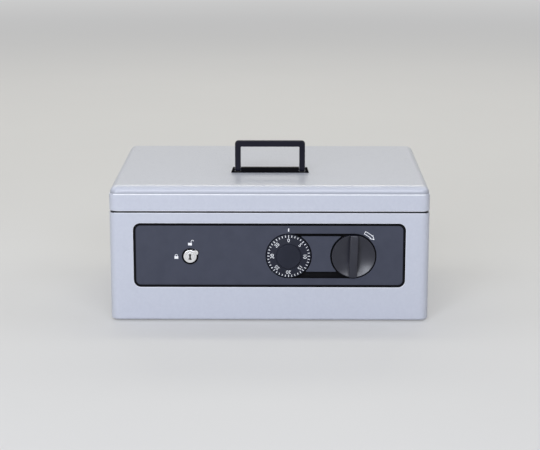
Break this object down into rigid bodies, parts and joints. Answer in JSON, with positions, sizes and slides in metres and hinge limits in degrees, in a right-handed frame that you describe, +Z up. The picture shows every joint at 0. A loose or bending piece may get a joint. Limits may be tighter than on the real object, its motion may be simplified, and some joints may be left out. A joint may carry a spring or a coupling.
{
  "type": "portable safe",
  "caption": "Portable sheet steel safe with a combination dial, a turning knob, a key lock and a folding carry handle on its hinged lid.",
  "frame": {"origin": "on the floor, under the middle of the bounding box, which is under the middle of the case", "axes": "+X to the viewer's right along the width, +Y from the front with the dial to the hinge, +Z up"},
  "size_m": [0.368, 0.2848, 0.1983],
  "materials": {
    "case_paint": "semi-gloss light grey enamel",
    "lid_paint": "semi-gloss light grey enamel",
    "zinc": "zinc plated",
    "brass_parts": "turned",
    "spacer_plastic": "moulded acetal",
    "rubber": "moulded",
    "panel_plastic": "fine moulded grain",
    "moulding_plastic": "fine moulded grain",
    "dial_plastic": "fine moulded grain",
    "knob_plastic": "fine moulded grain",
    "handle_plastic": "fine moulded grain",
    "base_plastic": "fine moulded grain",
    "chrome": "polished",
    "plug_metal": "turned face"
  },
  "bodies": {
    "case": {"case_shell": "case_paint", "rubber_feet": "rubber", "hinge_case_leaf": "zinc", "hinge_pin": "zinc", "hinge_case_rivets": "zinc", "front_panel": "moulding_plastic", "face_plate": "panel_plastic", "bridge_plate": "panel_plastic", "weld_studs": "zinc", "stud_nuts": "zinc", "lock_chassis": "zinc", "lock_cover": "zinc", "cover_posts": "zinc", "cover_screws": "zinc", "lock_cylinder": "chrome", "cylinder_nut": "chrome", "tumbler_post": "brass_parts", "tumbler_spacers": "spacer_plastic", "knob_bush": "brass_parts", "latch_guides": "zinc", "bolt_guides": "zinc"},
    "lid": {"lid_shell": "lid_paint", "lid_pan": "lid_paint", "hinge_lid_leaf": "zinc", "hinge_lid_rivets": "zinc", "lid_strikers": "zinc", "striker_rivets": "zinc", "handle_base": "base_plastic", "handle_pins": "zinc", "handle_plate": "zinc", "handle_screws": "zinc"},
    "handle": {"carry_handle": "handle_plastic"},
    "dial": {"dial": "dial_plastic", "dial_spindle": "zinc", "drive_wheel": "brass_parts", "spindle_clip": "zinc"},
    "front_wheel": {"tumbler_1": "brass_parts"},
    "rear_wheel": {"tumbler_2": "brass_parts"},
    "knob": {"turn_knob": "knob_plastic", "knob_shaft": "zinc", "knob_crank": "zinc", "crank_clip": "zinc"},
    "latch": {"latch_bar": "zinc"},
    "key": {"key_plug": "plug_metal", "lock_cam": "zinc", "cam_screw": "zinc"},
    "bolt": {"lock_bolt": "zinc"}
  },
  "joints": [
    {"name": "lid_hinge", "type": "hinge", "parent": "case", "child": "lid", "pos_m": [0, 0.1395, 0.13], "axis": [-1, 0, 0], "range_deg": [0, 95]},
    {"name": "handle_fold", "type": "hinge", "parent": "lid", "child": "handle", "pos_m": [0, -0.0505, 0.164], "axis": [1, 0, 0], "range_deg": [-90, 90]},
    {"name": "dial_turn", "type": "hinge", "parent": "case", "child": "dial", "pos_m": [0.0221, -0.1365, 0.0785], "axis": [0, 1, 0], "continuous": true},
    {"name": "front_wheel_turn", "type": "hinge", "parent": "dial", "child": "front_wheel", "pos_m": [0.0221, -0.1365, 0.0785], "axis": [0, 1, 0], "range_deg": [-165, 165]},
    {"name": "rear_wheel_turn", "type": "hinge", "parent": "front_wheel", "child": "rear_wheel", "pos_m": [0.0221, -0.1365, 0.0785], "axis": [0, 1, 0], "range_deg": [-165, 165]},
    {"name": "knob_turn", "type": "hinge", "parent": "case", "child": "knob", "pos_m": [0.0968, -0.1365, 0.0785], "axis": [0, 1, 0], "range_deg": [-90, 0]},
    {"name": "latch_slide", "type": "slide", "parent": "case", "child": "latch", "axis": [1, 0, 0], "range_m": [-0.01838, 0]},
    {"name": "key_turn", "type": "hinge", "parent": "case", "child": "key", "pos_m": [-0.0913, -0.1365, 0.0778], "axis": [0, -1, 0], "range_deg": [0, 90]},
    {"name": "bolt_slide", "type": "slide", "parent": "case", "child": "bolt", "axis": [0, 0, 1], "range_m": [0, 0.00707]}
  ],
  "couplings": [
    {"joint": "latch_slide", "follows": "knob_turn", "m_per_rad": 0.011704},
    {"joint": "bolt_slide", "follows": "key_turn", "m_per_rad": 0.0045016}
  ]
}
